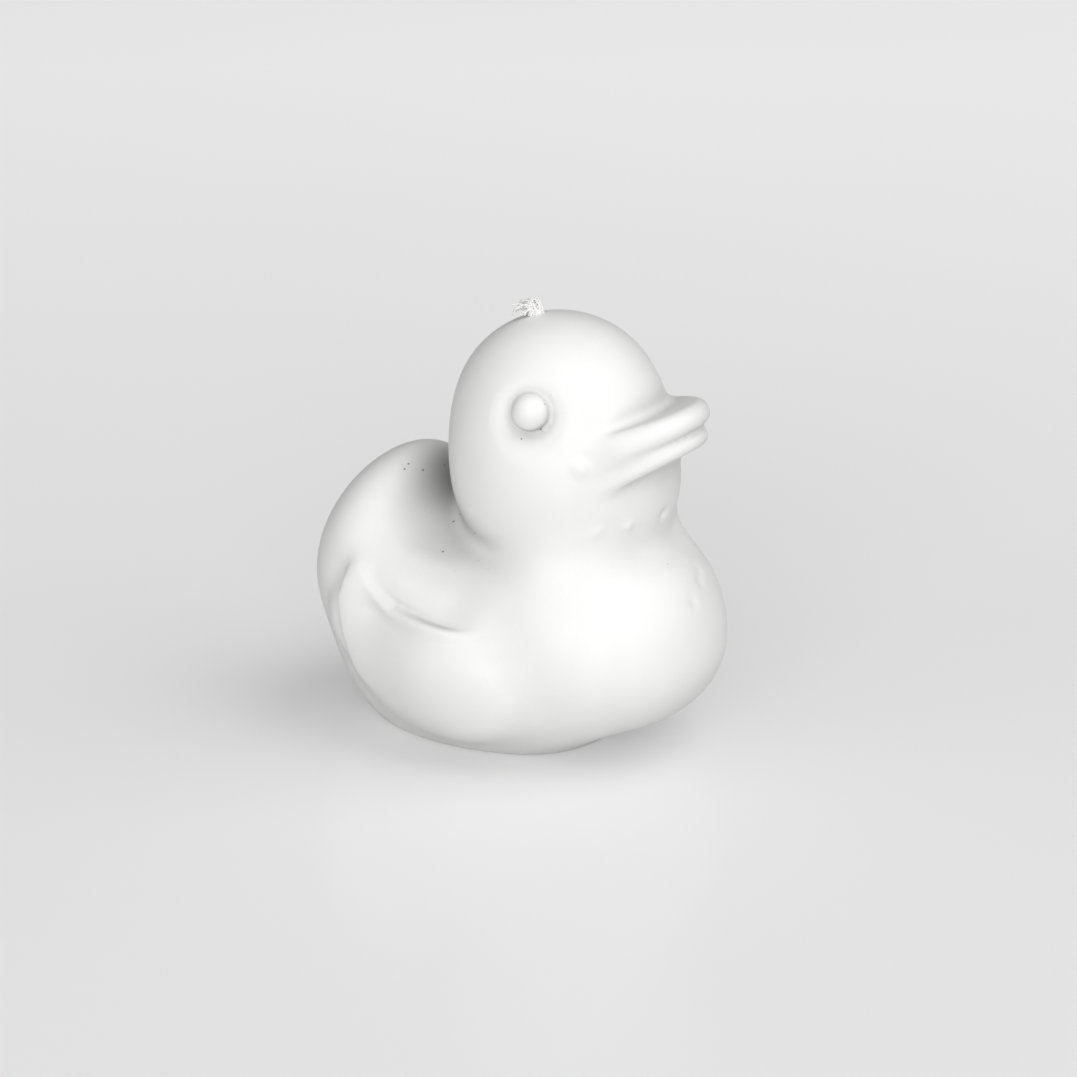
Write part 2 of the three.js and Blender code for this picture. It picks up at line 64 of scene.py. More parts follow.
# Masses of the casting: middle, half sizes, lift of the front, toe-in. They follow the part's source, but the
# lobe over each wing lies lower here, where the photograph has it.
BREAST = ((7.9, 0, 15.5), (13.4, 15.6, 10.9), 0, 0)
CHEST = ((9.1, 0, 10.9), (12.9, 13.4, 7.9), 0, 0)
BELLY = ((-0.9, 0, 9.3), (14.6, 11.8, 13.2), 0, 0)
RUMP = ((-5.8, 0, 10.1), (17.5, 14.0, 14.7), 0, 0)
TAIL = ((-17.0, 0, 21.1), (6.0, 11.4, 9.9), -24.5, 0)
WING = ((-6.6, 12.5, 10.6), (13.0, 4.2, 6.4), -14, 11)
WING_TIP = ((-14.6, 11.2, 16.7), (3.2, 3.1, 4.7), -25, 35)
SHOULDER = ((-1.2, 13.0, 12.0), (5.2, 4.2, 3.8), 0, 0)
LOBE = ((-6.4, 11.7, 17.2), (8.2, 3.7, 2.6), -15, 18)
CROWN = ((4.1, 0, 37.3), (11.8, 11.5, 11.5), 0, 0)
CHEEKS = ((5.2, 0, 29.3), (12.1, 12.2, 10.0), 0, 0)

# Lips of the bill: middle, half length and width, half thickness at the root and the tip, radius of the rim.
UPPER_LIP = ((12.3, 0, 36.1), (10.1, 8.8), (1.9, 1.3), 1.25)
LOWER_LIP = ((12.1, 0, 33.3), (10.2, 8.5), (1.9, 0.95), 0.9)
MOUTH_DEPTH, BILL_LIFT = 1.9, 24

# Eyes, their sockets and the corners of the mouth, each on a bearing from the middle of the crown.
EYE_RADIUS, EYE_SUNK, EYE_TURN, EYE_LIFT = 2.05, 0.55, 78, 19.5
SOCKET_RADIUS, SOCKET_DEPTH, SOCKET_DROP = 5.4, 1.2, 0.7
CORNER_RADIUS, CORNER_SUNK, CORNER_TURN, CORNER_LIFT = 0.9, 0.65, 50, -9

# Widths over which the masses melt into each other.
BODY_BLEND, BELLY_BLEND, TAIL_BLEND = 7.0, 4.0, 8.0
UNDERCUT_BLEND, UNDERCUT_HEIGHT, UNDERCUT_HALF_WIDTH = 1.5, 9.0, 11.0
WING_EDGE_BLEND, WING_FRONT_BLEND, WING_TIP_BLEND, LOBE_BLEND = 1.0, 5.0, 3.0, 5.5
WING_FADE_BACK, WING_FADE_FRONT, SHOULDER_BLEND = -12.0, 10.0, 6.0
HEAD_BLEND, NAPE_BLEND, THROAT_BLEND = 6.0, 2.0, 3.2
NECK_SOFT, NECK_SOFT_FROM, NECK_SOFT_TO = 3.0, 3.0, 10.0
BILL_BLEND, LIP_BLEND, SOCKET_BLEND, CORNER_BLEND = 1.2, 0.9, 1.6, 0.8
EYE_BLEND, BASE_BLEND = 0.5, 0.3

# Small marks that the photograph shows: the crease over each wing as places along X and Z, the wing's rear
# margin as places along Z and X, and the flash, bead, pit and dents of the casting as line, width and height.
EDGE_RAMP = 0.55
FLANK = (10.0, 12.5)
CREASE = ((-13.9, 20.9), (-11.8, 18.9), (-10.2, 17.9), (-8.5, 17.2), (-4.4, 17.1), (2.0, 16.8))
CREASE_START, CREASE_END = (-15.0, -7.5), (-2.0, 4.0)
CREASE_PROUD, CREASE_HOLLOW, CREASE_BELOW, CREASE_ABOVE = 0.35, 1.15, 1.6, 3.2
MARGIN = ((7.2, -13.5), (8.5, -14.5), (12.5, -15.8), (17.1, -16.3), (20.8, -15.1))
MARGIN_START, MARGIN_END, MARGIN_FRONT = (5.5, 8.0), (18.0, 21.5), (-13.0, -9.0)
MARGIN_PROUD, MARGIN_HOLLOW, MARGIN_WIDTH = 0.2, 0.6, 2.0
SMALL_MARKS = (
    (((8.8, -10.9, 25.1), (10.7, -10.4, 26.6), (14.0, -8.5, 28.3)), 0.45, 0.22),
    (((16.0, -5.7, 28.3),), 0.55, 0.3),
    (((17.3, -0.2, 28.1),), 0.6, -0.45),
    (((19.7, 3.8, 20.5), (20.3, 2.6, 19.9)), 0.7, -0.15),
    (((21.3, -0.5, 18.7),), 0.7, -0.15),
)

# The grid that the casting is wrapped on, and how its points are brought onto the surface.
GRID_LOW, GRID_HIGH, GRID_STEP = (-27.5, -20.5, -1.5), (25.0, 20.5, 50.5), 0.36
SLOPE_STEP, LEAST_SLOPE, DROP_ROUNDS, SKULL_ROUNDS = 0.02, 0.1, 3, 60
TINY = 1e-9

# The wick: a twisted cord in the bore and loose fibres at the crown.
WICK_X, WICK_DIAMETER, WICK_RECESS = 1.2, 1.5, 0.5
CORD_STRANDS, STRAND_RADIUS, CORD_PITCH, CORD_STAND = 3, 0.42, 3.2, 0.5
CORD_POINTS, CORD_SIDES = 120, 8
FIBRES, FIBRE_RADIUS, FIBRE_POINTS, FIBRE_SIDES = 80, 0.15, 12, 5
FIBRE_REACH, FIBRE_END, FIBRE_PEAK = (0.1, 1.9), (-0.2, 1.3), (1.0, 2.6)
FIBRE_SPREAD, FIBRE_LEAN, FIBRE_BOW, FIBRE_SEED = 0.65, 0.5, 0.1, 7
OFF_EVERY_PATH = (0.31, 0.95, 0.05)

# Looks. Scales of patterns are per metre, and other lengths here are metres.
CLOUD_LOW, CLOUD_HIGH = 0.3, 0.7
WAX_DARK, WAX_PALE = (0.80, 0.798, 0.79), (0.84, 0.84, 0.835)
WAX_CLOUDS, WAX_CLOUD_DETAIL = 90.0, 4.0
WAX_ROUGHNESS, WAX_PATCHES, WAX_PATCH_DETAIL = (0.42, 0.6), 420.0, 3.0
WAX_GRAIN, WAX_GRAIN_DETAIL, WAX_GRAIN_ROUGHNESS = 2600.0, 4.0, 0.6
WAX_BUMP, WAX_BUMP_HEIGHT = 0.12, 0.0002
WAX_DEPTH, WAX_DEPTH_COLOUR, WAX_DEPTH_REACH = 0.2, (1.0, 0.95, 0.88), 0.0025
WAX_IOR, WAX_SPECULAR = 1.44, 0.4
# Painted shade: the wax's colour is darkened in its hollows, less where they open out.
HOLLOW_REACH, HOLLOW_SAMPLES, HOLLOW_DEEP, HOLLOW_OPEN, HOLLOW_SHADE = 0.02, 16, 0.4, 0.87, 0.4
SPECKS, SPECK_SHARE_FROM, SPECK_SIZE, SPECK_LIMIT = 760.0, 0.2, 1.5, 0.1
SPECK_COLOUR = (0.16, 0.155, 0.14, 1)
COTTON_DARK, COTTON_PALE = (0.78, 0.775, 0.76), (0.92, 0.915, 0.905)
COTTON_FIBRES, COTTON_DETAIL, COTTON_ROUGHNESS = 6000.0, 3.0, 0.9
COTTON_BUMP, COTTON_BUMP_HEIGHT = 0.4, 0.0001
FLOOR_DARK, FLOOR_PALE = (0.59, 0.59, 0.59), (0.61, 0.61, 0.61)
FLOOR_CLOUDS, FLOOR_CLOUD_DETAIL = 6.0, 2.0
FLOOR_WIDTH, FLOOR_ROUGHNESS, FLOOR_IOR = 6.0, 0.2, 1.12
LIFT_NEAR, LIFT_FAR, LIFT_NEAR_AT, LIFT_FAR_AT = 0.255, 0.40, 0.03, 0.285

# Places of the colour sockets on a mix node.
MIX_FIRST, MIX_SECOND, MIX_RESULT = 6, 7, 2

# Light: bearings from the camera to its right, and heights, in degrees, then metres and watts.
KEY_BEARING, KEY_HEIGHT, KEY_DISTANCE, KEY_SIZE, KEY_POWER = 78, 54, 1.3, 1.2, 8.3
FILL_BEARING, FILL_HEIGHT, FILL_DISTANCE, FILL_SIZE, FILL_POWER = -8, 6, 1.4, 1.2, 17.5
LAMP_AIM = 0.022
SKY_BACK, SKY_FRONT = 0.0, 0.6
SKY_EDGE_BACK, SKY_EDGE_FRONT = -0.6, 0.6

CAMERA_TURN, CAMERA_RISE, CAMERA_DISTANCE = 30.0, 20.6, 520.0
CAMERA_TARGET = Vector((0, 0, 20.0))
AIM_RIGHT, AIM_UP = 1.23, 1.84
CAMERA_LENS, SENSOR, CLIP_START = 155.9, 36.0, 0.01

# The part's source moves everything along X to put its origin under the middle of the box.
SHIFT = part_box("wick")[1].x / MM - WICK_X - WICK_DIAMETER / 2


# The casting's field: distances from its surface, below zero inside.


def ease(value, low, high):
    """0 up to a low value and 1 from a high one, with a smooth rise between."""
    t = np.clip((value - low) / (high - low), 0, 1)
    return t * t * (3 - 2 * t)


def melt(a, b, width):
    """Least of two distances, with the valley between them filled over a width."""
    h = np.maximum(width - np.abs(a - b), 0) / width
    return np.minimum(a, b) - h * h * width / 4


def carve(a, b, width):
    """What is left of one form when another is taken out of it, with the edge rounded over a width."""
    return -melt(-a, b, width)


def ellipsoid(p, mass):
    at, half, lift, toe_in = mass
    l, t = math.radians(lift), math.radians(toe_in)
    lifted = np.array([[math.cos(l), 0, -math.sin(l)], [0, 1, 0], [math.sin(l), 0, math.cos(l)]])
    toed = np.array([[math.cos(t), -math.sin(t), 0], [math.sin(t), math.cos(t), 0], [0, 0, 1]])
    q = (p - np.array(at, float)) @ (toed @ lifted) / np.array(half)
    reach = np.linalg.norm(q, axis=-1)
    grade = np.linalg.norm(q / np.array(half), axis=-1)
    return reach * (reach - 1) / np.maximum(grade, TINY)


def lip(p, shape):
    """Distance from an oval plate with a rounded rim, lifted and thinned towards its tip."""
    at, (half_length, half_width), (root, tip), rim = shape
    run, rise = math.cos(math.radians(BILL_LIFT)), math.sin(math.radians(BILL_LIFT))
    x, y, z = np.moveaxis(p - np.array(at, float), -1, 0)
    along, up = run * x + rise * z, run * z - rise * x
    long, wide = half_length - rim, half_width - rim
    reach = np.hypot(along / long, y / wide)
    grade = np.hypot(along / long**2, y / wide**2)
    beyond = reach * (reach - 1) / np.maximum(grade, TINY)
    over = np.abs(up) - (root + (tip - root) * ease(along, 0, half_length)) + rim
    inside = np.minimum(np.maximum(beyond, over), 0)
    return inside + np.hypot(np.maximum(beyond, 0), np.maximum(over, 0)) - rim


def ball(p, at, radius):
    return np.linalg.norm(p - at, axis=-1) - radius


def skull(p):
    return melt(ellipsoid(p, CROWN), ellipsoid(p, CHEEKS), HEAD_BLEND)


def on_skull(turn, lift):
    """Point of the skull on a bearing from the middle of the crown, and the way out there."""
    t, l = math.radians(turn), math.radians(lift)
    out = np.array([math.cos(l) * math.cos(t), math.cos(l) * math.sin(t), math.sin(l)])
    at = np.array(CROWN[0], float)
    for _ in range(SKULL_ROUNDS):
        at = at - out * skull(at[None])[0]
    return at, out


EYE_AT, EYE_OUT = on_skull(EYE_TURN, EYE_LIFT)
EYE_CENTRE = EYE_AT - EYE_SUNK * EYE_OUT
SOCKET_CENTRE = EYE_AT + EYE_OUT * (SOCKET_RADIUS - SOCKET_DEPTH) - np.array([0, 0, SOCKET_DROP])
CORNER_AT, CORNER_OUT = on_skull(CORNER_TURN, CORNER_LIFT)
CORNER_CENTRE = CORNER_AT - CORNER_SUNK * CORNER_OUT

MOUTH_CORE = (
    tuple((np.array(UPPER_LIP[0]) + np.array(LOWER_LIP[0])) / 2),
    (
        min(UPPER_LIP[1][0], LOWER_LIP[1][0]) - MOUTH_DEPTH,
        min(UPPER_LIP[1][1], LOWER_LIP[1][1]) - MOUTH_DEPTH,
        (UPPER_LIP[0][2] - LOWER_LIP[0][2]) / 2,
    ),
    BILL_LIFT,
    0,
)


def trunk(p):
    """Breast, belly, rump and tail, with a sharper fold under the breast than above."""
    back = melt(ellipsoid(p, RUMP), ellipsoid(p, BELLY), BELLY_BLEND)
    front = melt(ellipsoid(p, BREAST), ellipsoid(p, CHEST), BODY_BLEND)
    high = ease(p[..., 2], 0, UNDERCUT_HEIGHT)
    aside = ease(np.abs(p[..., 1]), 0, UNDERCUT_HALF_WIDTH)
    fold = UNDERCUT_BLEND + (BODY_BLEND - UNDERCUT_BLEND) * np.maximum(high, aside)
    return melt(melt(back, front, fold), ellipsoid(p, TAIL), TAIL_BLEND)


def body(p):
    """The trunk with its lobes and wings, whose edges are sharp behind and fade forward."""
    x, z = p[..., 0], p[..., 2]
    above = ease(z, LOBE[0][2] - LOBE[1][2], LOBE[0][2])
    beyond = ease(np.abs(x - LOBE[0][0]), LOBE[1][0] - LOBE_BLEND, LOBE[1][0] + LOBE_BLEND)
    soft = np.maximum(above, beyond)
    lobed = melt(trunk(p), ellipsoid(p, LOBE), WING_EDGE_BLEND + (LOBE_BLEND - WING_EDGE_BLEND) * soft)
    tipped = melt(ellipsoid(p, WING), ellipsoid(p, WING_TIP), WING_TIP_BLEND)
    wing = melt(tipped, ellipsoid(p, SHOULDER), SHOULDER_BLEND)
    forward = ease(x - z + WING_TIP[0][2], WING_FADE_BACK, WING_FADE_FRONT)
    return melt(lobed, wing, WING_EDGE_BLEND + (WING_FRONT_BLEND - WING_EDGE_BLEND) * forward)


def head(p):
    """The skull with its sockets, bill, corners of the mouth and eyes."""
    socketed = carve(skull(p), ball(p, SOCKET_CENTRE, SOCKET_RADIUS), SOCKET_BLEND)
    lips = melt(lip(p, UPPER_LIP), lip(p, LOWER_LIP), LIP_BLEND)
    bill = melt(lips, ellipsoid(p, MOUTH_CORE), LIP_BLEND)
    billed = melt(socketed, bill, BILL_BLEND)
    cornered = melt(billed, ball(p, CORNER_CENTRE, CORNER_RADIUS), CORNER_BLEND)
    return melt(cornered, ball(p, EYE_CENTRE, EYE_RADIUS), EYE_BLEND)


def duck(p):
    """The whole casting before its small marks. Both sides are alike, and the base is flat."""
    p = np.array(p)
    p[..., 1] = np.abs(p[..., 1])
    front = ease(p[..., 0], 0, CROWN[0][0] + CHEEKS[0][0])
    soft = NECK_SOFT * ease(p[..., 1], NECK_SOFT_FROM, NECK_SOFT_TO)
    neck = NAPE_BLEND + (THROAT_BLEND - NAPE_BLEND + soft) * front
    return carve(melt(body(p), head(p), neck), p[..., 2], BASE_BLEND)


# Small marks on the casting's surface.


def near(p, line, width):
    """1 along a line of places on the casting, falling to 0 over a width."""
    line = np.array(line, float)
    least = ((p - line[0]) ** 2).sum(-1)
    for a, b in zip(line[:-1], line[1:]):
        share = np.clip((p - a) @ (b - a) / ((b - a) @ (b - a)), 0, 1)
        least = np.minimum(least, ((p - a - share[:, None] * (b - a)) ** 2).sum(-1))
    return np.exp(-least / width**2)


def edge(inwards, proud, hollow, width, outer_width):
    """Height across an edge: proud just inside it and hollow just outside, each fading over its width."""
    across = (proud + hollow) * ease(inwards, -EDGE_RAMP, EDGE_RAMP) - hollow
    return across * np.exp(-((inwards / np.where(inwards > 0, width, outer_width)) ** 2))


def marks(p):
    """Height of the casting's small marks at points of its surface."""
    x, z = p[:, 0], p[:, 2]
    flank = ease(np.abs(p[:, 1]), *FLANK)
    crease_x, crease_z = zip(*CREASE)
    along = ease(x, *CREASE_START) * (1 - ease(x, *CREASE_END))
    below = np.interp(x, crease_x, crease_z) - z
    height = flank * along * edge(below, CREASE_PROUD, CREASE_HOLLOW, CREASE_BELOW, CREASE_ABOVE)
    margin_z, margin_x = zip(*MARGIN)
    up = ease(z, *MARGIN_START) * (1 - ease(z, *MARGIN_END)) * (1 - ease(x, *MARGIN_FRONT))
    ahead = x - np.interp(z, margin_z, margin_x)
    height += flank * up * edge(ahead, MARGIN_PROUD, MARGIN_HOLLOW, MARGIN_WIDTH, MARGIN_WIDTH)
    for line, width, high in SMALL_MARKS:
        height += high * near(p, line, width)
    return height


# From a field to a mesh.


def slope(field, p):
    """Way in which the field rises at each point."""
    steps = np.eye(3) * SLOPE_STEP
    return np.stack([(field(p + s) - field(p - s)) / (2 * SLOPE_STEP) for s in steps], axis=-1)


def drop(field, p):
    """Moves points onto the surface where the field is zero."""
    for _ in range(DROP_ROUNDS):
        way = slope(field, p)
        p = p - way * (field(p) / np.maximum((way**2).sum(-1), LEAST_SLOPE))[..., None]
    return p


def wrap(field, low, high, step):
    """A quad skin round everything where the field is below zero."""
    lines = [np.arange(a, b + step, step) for a, b in zip(low, high)]
    value = np.empty([len(line) for line in lines])
    for i, x in enumerate(lines[0]):
        grid = np.stack(np.meshgrid([x], lines[1], lines[2], indexing="ij"), axis=-1)
        value[i] = field(grid)[0]
    shape = np.array(value.shape)
    hop = np.array([shape[1] * shape[2], shape[2], 1])
    quads, cells, cuts = [], [], []
    for axis in range(3):
        ends = np.moveaxis(value, axis, 0)
        across = np.moveaxis((ends[:-1] < 0) != (ends[1:] < 0), 0, axis)
        at = np.stack(np.nonzero(across), axis=1)
        a = value[tuple(at.T)]
        after = at.copy()
        after[:, axis] += 1
        b = value[tuple(after.T)]
        point = np.stack([lines[n][at[:, n]] for n in range(3)], axis=1)
        point[:, axis] += step * a / (a - b)
        u, v = hop[(axis + 1) % 3], hop[(axis + 2) % 3]
        here = at @ hop
        ring = np.stack([here - u - v, here - v, here, here - u], axis=1)
        quads.append(np.where((a < 0)[:, None], ring, ring[:, ::-1]))
        cells.append(ring.T.ravel())
        cuts.append(np.tile(point, (4, 1)))
    quads, cells, cuts = np.concatenate(quads), np.concatenate(cells), np.concatenate(cuts)
    used, place = np.unique(cells, return_inverse=True)
    count = np.bincount(place)
    points = np.stack([np.bincount(place, cuts[:, n]) / count for n in range(3)], axis=1)
    return drop(field, points), np.searchsorted(used, quads)


def mesh_object(name, points, faces, material):
    """A smooth mesh from points in the part's own millimetres."""
    mesh = bpy.data.meshes.new(name)
    places = (np.asarray(points) + [SHIFT, 0, 0]) * MM
    mesh.from_pydata(places, [], [list(map(int, face)) for face in faces])
    mesh.polygons.foreach_set("use_smooth", [True] * len(mesh.polygons))
    mesh.materials.append(material)
    mesh.update()
    made = bpy.data.objects.new(name, mesh)
    bpy.context.scene.collection.objects.link(made)
    return made


# Node helpers.


def nodes_of(name):
    material = bpy.data.materials.new(name)
    material.use_nodes = True
    tree = material.node_tree
    return material, tree, tree.nodes["Principled BSDF"]


def add(tree, kind, **values):
    """A new node, with values for its sockets or its settings."""
    node = tree.nodes.new(kind)
    for key, value in values.items():
        if key in node.inputs:
            node.inputs[key].default_value = value
        else:
            setattr(node, key, value)
    return node


def place_on(tree):
    """Places on the piece, in metres."""
    return add(tree, "ShaderNodeTexCoord").outputs["Object"]


def noise(tree, where, scale, detail, rough=0.5):
    node = add(tree, "ShaderNodeTexNoise", Scale=scale, Detail=detail, Roughness=rough)
    tree.links.new(where, node.inputs["Vector"])
    return node.outputs["Fac"]


def clouded(tree, cloud, dark, pale):
    """A colour that drifts between two with a noise."""
    node = tree.nodes.new("ShaderNodeValToRGB")
    for element, spot, colour in zip(node.color_ramp.elements, (CLOUD_LOW, CLOUD_HIGH), (dark, pale)):
        element.position = spot
        element.color = (*colour, 1)
    tree.links.new(cloud, node.inputs["Fac"])
    return node.outputs["Color"]


def span(tree, source, low, high, to_low, to_high):
    """A value carried from one range to another and held at its ends."""
    node = add(tree, "ShaderNodeMapRange")
    for name, value in zip(("From Min", "From Max", "To Min", "To Max"), (low, high, to_low, to_high)):
        node.inputs[name].default_value = value
    tree.links.new(source, node.inputs["Value"])
    return node.outputs["Result"]


def reckon(tree, operation, *terms):
    """The outcome of a sum whose terms are sockets or numbers."""
    node = add(tree, "ShaderNodeMath", operation=operation)
    for socket, term in zip(node.inputs, terms):
        if isinstance(term, bpy.types.NodeSocket):
            tree.links.new(term, socket)
        else:
            socket.default_value = term
    return node.outputs["Value"]


def part_of(tree, vector, axis):
    """One part of a vector or a colour."""
    node = add(tree, "ShaderNodeSeparateXYZ")
    tree.links.new(vector, node.inputs["Vector"])
    return node.outputs[axis]


def bumped(tree, shader, height, strength, distance):
    """Fine relief on a shader."""
    node = add(tree, "ShaderNodeBump", Strength=strength, Distance=distance)
    tree.links.new(height, node.inputs["Height"])
    tree.links.new(node.outputs["Normal"], shader.inputs["Normal"])


# Materials.


def hollow_shade(tree):
    """Painted shade: 1 on open wax, less in its hollows, where it darkens the wax's colour."""
    hollow = add(tree, "ShaderNodeAmbientOcclusion", Distance=HOLLOW_REACH, samples=HOLLOW_SAMPLES)
    hollow.only_local = True
    return span(tree, hollow.outputs["AO"], HOLLOW_DEEP, HOLLOW_OPEN, HOLLOW_SHADE, 1)


def specked(tree, where, shade, colour):
    """A colour with small dark specks on it, in the hollows."""
    cells = add(tree, "ShaderNodeTexVoronoi", Scale=SPECKS)
    tree.links.new(where, cells.inputs["Vector"])
    chance = part_of(tree, cells.outputs["Color"], "X")
    reach = span(tree, chance, SPECK_SHARE_FROM, 1, 0, SPECK_SIZE)
    size = reckon(tree, "MULTIPLY", reach, reckon(tree, "SUBTRACT", 1, shade))
    small = reckon(tree, "MINIMUM", size, SPECK_LIMIT)
    speck = reckon(tree, "LESS_THAN", cells.outputs["Distance"], small)
    mixed = add(tree, "ShaderNodeMix", data_type="RGBA")
    tree.links.new(speck, mixed.inputs["Factor"])
    tree.links.new(colour, mixed.inputs[MIX_FIRST])
    mixed.inputs[MIX_SECOND].default_value = SPECK_COLOUR
    return mixed.outputs[MIX_RESULT]


def wax_material():
    """Off-white cast wax, a little clear, with painted shade in its hollows and small dark specks there."""
    material, tree, shader = nodes_of("cast_wax")
    where = place_on(tree)
    tint = clouded(tree, noise(tree, where, WAX_CLOUDS, WAX_CLOUD_DETAIL), WAX_DARK, WAX_PALE)
    shade = hollow_shade(tree)
    # Painted shade: the wax's colour is scaled down where its hollows are closed in.
    painted_shade_colour = add(tree, "ShaderNodeVectorMath", operation="SCALE")
    tree.links.new(tint, painted_shade_colour.inputs[0])
    tree.links.new(shade, painted_shade_colour.inputs["Scale"])
    tree.links.new(specked(tree, where, shade, painted_shade_colour.outputs["Vector"]), shader.inputs["Base Color"])
    patches = noise(tree, where, WAX_PATCHES, WAX_PATCH_DETAIL)
    tree.links.new(span(tree, patches, 0, 1, *WAX_ROUGHNESS), shader.inputs["Roughness"])
    grain = noise(tree, where, WAX_GRAIN, WAX_GRAIN_DETAIL, WAX_GRAIN_ROUGHNESS)
    bumped(tree, shader, grain, WAX_BUMP, WAX_BUMP_HEIGHT)
    shader.inputs["Subsurface Weight"].default_value = WAX_DEPTH
    shader.inputs["Subsurface Radius"].default_value = WAX_DEPTH_COLOUR
    shader.inputs["Subsurface Scale"].default_value = WAX_DEPTH_REACH
    shader.inputs["IOR"].default_value = WAX_IOR
    shader.inputs["Specular IOR Level"].default_value = WAX_SPECULAR
    return material


def cotton_material():
    """Undyed cotton, streaked with fine fibres."""
    material, tree, shader = nodes_of("cotton")
    fibre = noise(tree, place_on(tree), COTTON_FIBRES, COTTON_DETAIL)
    tree.links.new(clouded(tree, fibre, COTTON_DARK, COTTON_PALE), shader.inputs["Base Color"])
    bumped(tree, shader, fibre, COTTON_BUMP, COTTON_BUMP_HEIGHT)
    shader.inputs["Roughness"].default_value = COTTON_ROUGHNESS
    return material


def floor_material():
    """A pale floor, lifted towards white where it is seen, and more so further off."""
    material, tree, shader = nodes_of("pale_floor")
    where = place_on(tree)
    cloud = noise(tree, where, FLOOR_CLOUDS, FLOOR_CLOUD_DETAIL)
    tree.links.new(clouded(tree, cloud, FLOOR_DARK, FLOOR_PALE), shader.inputs["Base Color"])
    shader.inputs["Roughness"].default_value = FLOOR_ROUGHNESS
    shader.inputs["IOR"].default_value = FLOOR_IOR
    lift = span(tree, part_of(tree, where, "Y"), LIFT_NEAR_AT, LIFT_FAR_AT, LIFT_NEAR, LIFT_FAR)
    ray = add(tree, "ShaderNodeLightPath").outputs
    mirrored = reckon(tree, "MAXIMUM", ray["Is Glossy Ray"], ray["Is Transmission Ray"])
    seen = reckon(tree, "MAXIMUM", ray["Is Camera Ray"], mirrored)
    glow = add(tree, "ShaderNodeEmission")
    tree.links.new(reckon(tree, "MULTIPLY", lift, seen), glow.inputs["Strength"])
    both = add(tree, "ShaderNodeAddShader")
    tree.links.new(shader.outputs["BSDF"], both.inputs[0])
    tree.links.new(glow.outputs["Emission"], both.inputs[1])
    tree.links.new(both.outputs["Shader"], tree.nodes["Material Output"].inputs["Surface"])
    return material


# The casting.


def casting_piece():
    """Points and faces of the casting, with its small marks raised or sunk along the way out."""
    points, faces = wrap(duck, GRID_LOW, GRID_HIGH, GRID_STEP)
    outward = slope(duck, points)
    outward /= np.linalg.norm(outward, axis=1)[:, None]
    return points + outward * marks(points)[:, None], faces


casting = mesh_object("duck_casting", *casting_piece(), wax_material())
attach(casting, "root")
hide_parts("wax_duck")


# The wick.


def tube(path, radius, sides):
    """Points and faces of a closed tube along a path, with a radius for each of the path's points."""
    path = np.asarray(path, float)
    along = np.gradient(path, axis=0)
    along /= np.linalg.norm(along, axis=1)[:, None]
    across = np.cross(along, OFF_EVERY_PATH)
    across /= np.linalg.norm(across, axis=1)[:, None]
    other = np.cross(along, across)
    turn = np.linspace(0, 2 * np.pi, sides, endpoint=False)
    ring = np.cos(turn)[None, :, None] * across[:, None] + np.sin(turn)[None, :, None] * other[:, None]
    points = path[:, None] + ring * np.broadcast_to(radius, len(path))[:, None, None]
    faces = []
    for n in range(len(path) - 1):
        for s in range(sides):
            t = (s + 1) % sides
            faces.append([n * sides + s, n * sides + t, (n + 1) * sides + t, (n + 1) * sides + s])
    points = np.concatenate([points.reshape(-1, 3), path[:1], path[-1:]])
    first, last = len(points) - 2, len(points) - 1
    for s in range(sides):
        t = (s + 1) % sides
        faces.append([first, t, s])
        faces.append([last, (len(path) - 1) * sides + s, (len(path) - 1) * sides + t])
    return points, faces


def twisted_cord(top):
    """The strands of the cord, from its foot in the bore to the crown."""
    z = np.linspace(WICK_RECESS, top + CORD_STAND, CORD_POINTS)
    offset = STRAND_RADIUS / math.sqrt(2)
    for k in range(CORD_STRANDS):
        turn = 2 * np.pi * (z / CORD_PITCH + k / CORD_STRANDS)
        path = np.stack([WICK_X + offset * np.cos(turn), offset * np.sin(turn), z], axis=1)
        yield tube(path, STRAND_RADIUS, CORD_SIDES)


def frayed_ends(top):
    """Loose fibres at the crown: they stand up from the cord and curl over towards one side."""
    draw = random.Random(FIBRE_SEED)
    s = np.linspace(0, 1, FIBRE_POINTS)[:, None]
    for _ in range(FIBRES):
        spread = draw.uniform(0, 2 * np.pi)
        out = WICK_DIAMETER / 2 * math.sqrt(draw.random())
        root = np.array([WICK_X + out * math.cos(spread), out * math.sin(spread), top - WICK_RECESS])
        reach = draw.uniform(*FIBRE_REACH)
        side = draw.uniform(-FIBRE_SPREAD, FIBRE_SPREAD)
        end = np.array([-reach, side - FIBRE_LEAN * reach, WICK_RECESS + draw.uniform(*FIBRE_END)])
        peak = np.array([FIBRE_BOW * end[0], FIBRE_BOW * end[1], WICK_RECESS + draw.uniform(*FIBRE_PEAK)])
        path = root + 2 * s * (1 - s) * peak + s**2 * end
        yield tube(path, np.linspace(FIBRE_RADIUS, FIBRE_RADIUS / 2, FIBRE_POINTS), FIBRE_SIDES)


def wick_piece():
    """Points and faces of the cord and its fibres together."""
    top = drop(duck, np.array([[WICK_X, 0.0, CROWN[0][2] + CROWN[1][2]]]))[0][2]
    points, faces = [], []
    for made in (*twisted_cord(top), *frayed_ends(top)):
        base = sum(len(p) for p in points)
        points.append(made[0])
        faces.extend([[base + n for n in face] for face in made[1]])
    return np.concatenate(points), faces


wick = mesh_object("wick_cord", *wick_piece(), cotton_material())
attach(wick, "root")
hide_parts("wick")


# The stage: floor, camera, lamps and sky.


def floor():
    """A wide level floor."""
    half = FLOOR_WIDTH / 2
    corners = [(-half, -half, 0), (half, -half, 0), (half, half, 0), (-half, half, 0)]
    mesh = bpy.data.meshes.new("floor")
    mesh.from_pydata(corners, [], [(0, 1, 2, 3)])
    mesh.materials.append(floor_material())
    made = bpy.data.objects.new("floor", mesh)
    bpy.context.scene.collection.objects.link(made)
    return made


def bearing_way(turn, rise):
    """The way from the duck out along a bearing and a height, in radians."""
    return Vector((math.sin(turn) * math.cos(rise), -math.cos(turn) * math.cos(rise), math.sin(rise)))


